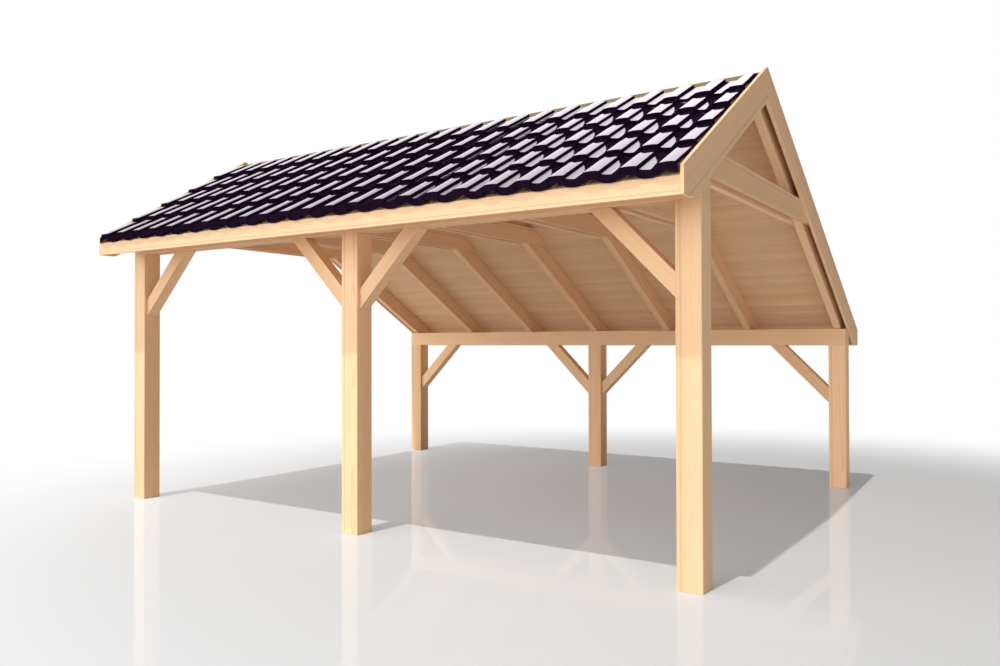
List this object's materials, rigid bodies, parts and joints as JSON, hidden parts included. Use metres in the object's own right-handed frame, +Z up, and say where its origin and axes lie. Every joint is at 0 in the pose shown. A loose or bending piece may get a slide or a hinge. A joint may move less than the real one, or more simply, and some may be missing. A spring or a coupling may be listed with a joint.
{
  "type": "open-sided timber shed",
  "caption": "Open-sided timber shed on square posts with knee braces, clasped trusses, a boarded uneven gable roof and black glazed tiles; shelters goods and people.",
  "frame": {"origin": "on the ground at the middle of the plan", "axes": "+X along the length to the right gable, +Y from the tall open front to the low rear, +Z up"},
  "size_m": [5.189, 4.626, 3.166],
  "materials": {
    "timber": "planed softwood",
    "roof_boards": "planed tongue and groove softwood",
    "roof_tiles": "gloss glaze"
  },
  "bodies": {
    "root": {"front_post_left": "timber", "front_post_middle": "timber", "front_post_right": "timber", "rear_post_left": "timber", "rear_post_middle": "timber", "rear_post_right": "timber", "front_plate": "timber", "rear_plate": "timber", "front_braces_left_bay": "timber", "front_braces_right_bay": "timber", "rear_braces_left_bay": "timber", "rear_braces_right_bay": "timber", "front_rafter_1": "timber", "front_rafter_2": "timber", "front_rafter_3": "timber", "front_rafter_4": "timber", "front_rafter_5": "timber", "front_rafter_6": "timber", "front_rafter_7": "timber", "rear_rafter_1": "timber", "rear_rafter_2": "timber", "rear_rafter_3": "timber", "rear_rafter_4": "timber", "rear_rafter_5": "timber", "rear_rafter_6": "timber", "rear_rafter_7": "timber", "tie_planks_1": "timber", "tie_planks_2": "timber", "tie_planks_3": "timber", "tie_planks_4": "timber", "tie_planks_5": "timber", "tie_planks_6": "timber", "tie_planks_7": "timber", "ridge_board": "roof_boards", "front_boarding": "roof_boards", "rear_boarding": "roof_boards", "front_fascia": "timber", "rear_fascia": "timber", "front_bargeboard_left": "timber", "front_bargeboard_right": "timber", "rear_bargeboard_left": "timber", "rear_bargeboard_right": "timber", "front_tiles": "roof_tiles", "rear_tiles": "roof_tiles"}
  },
  "joints": []
}
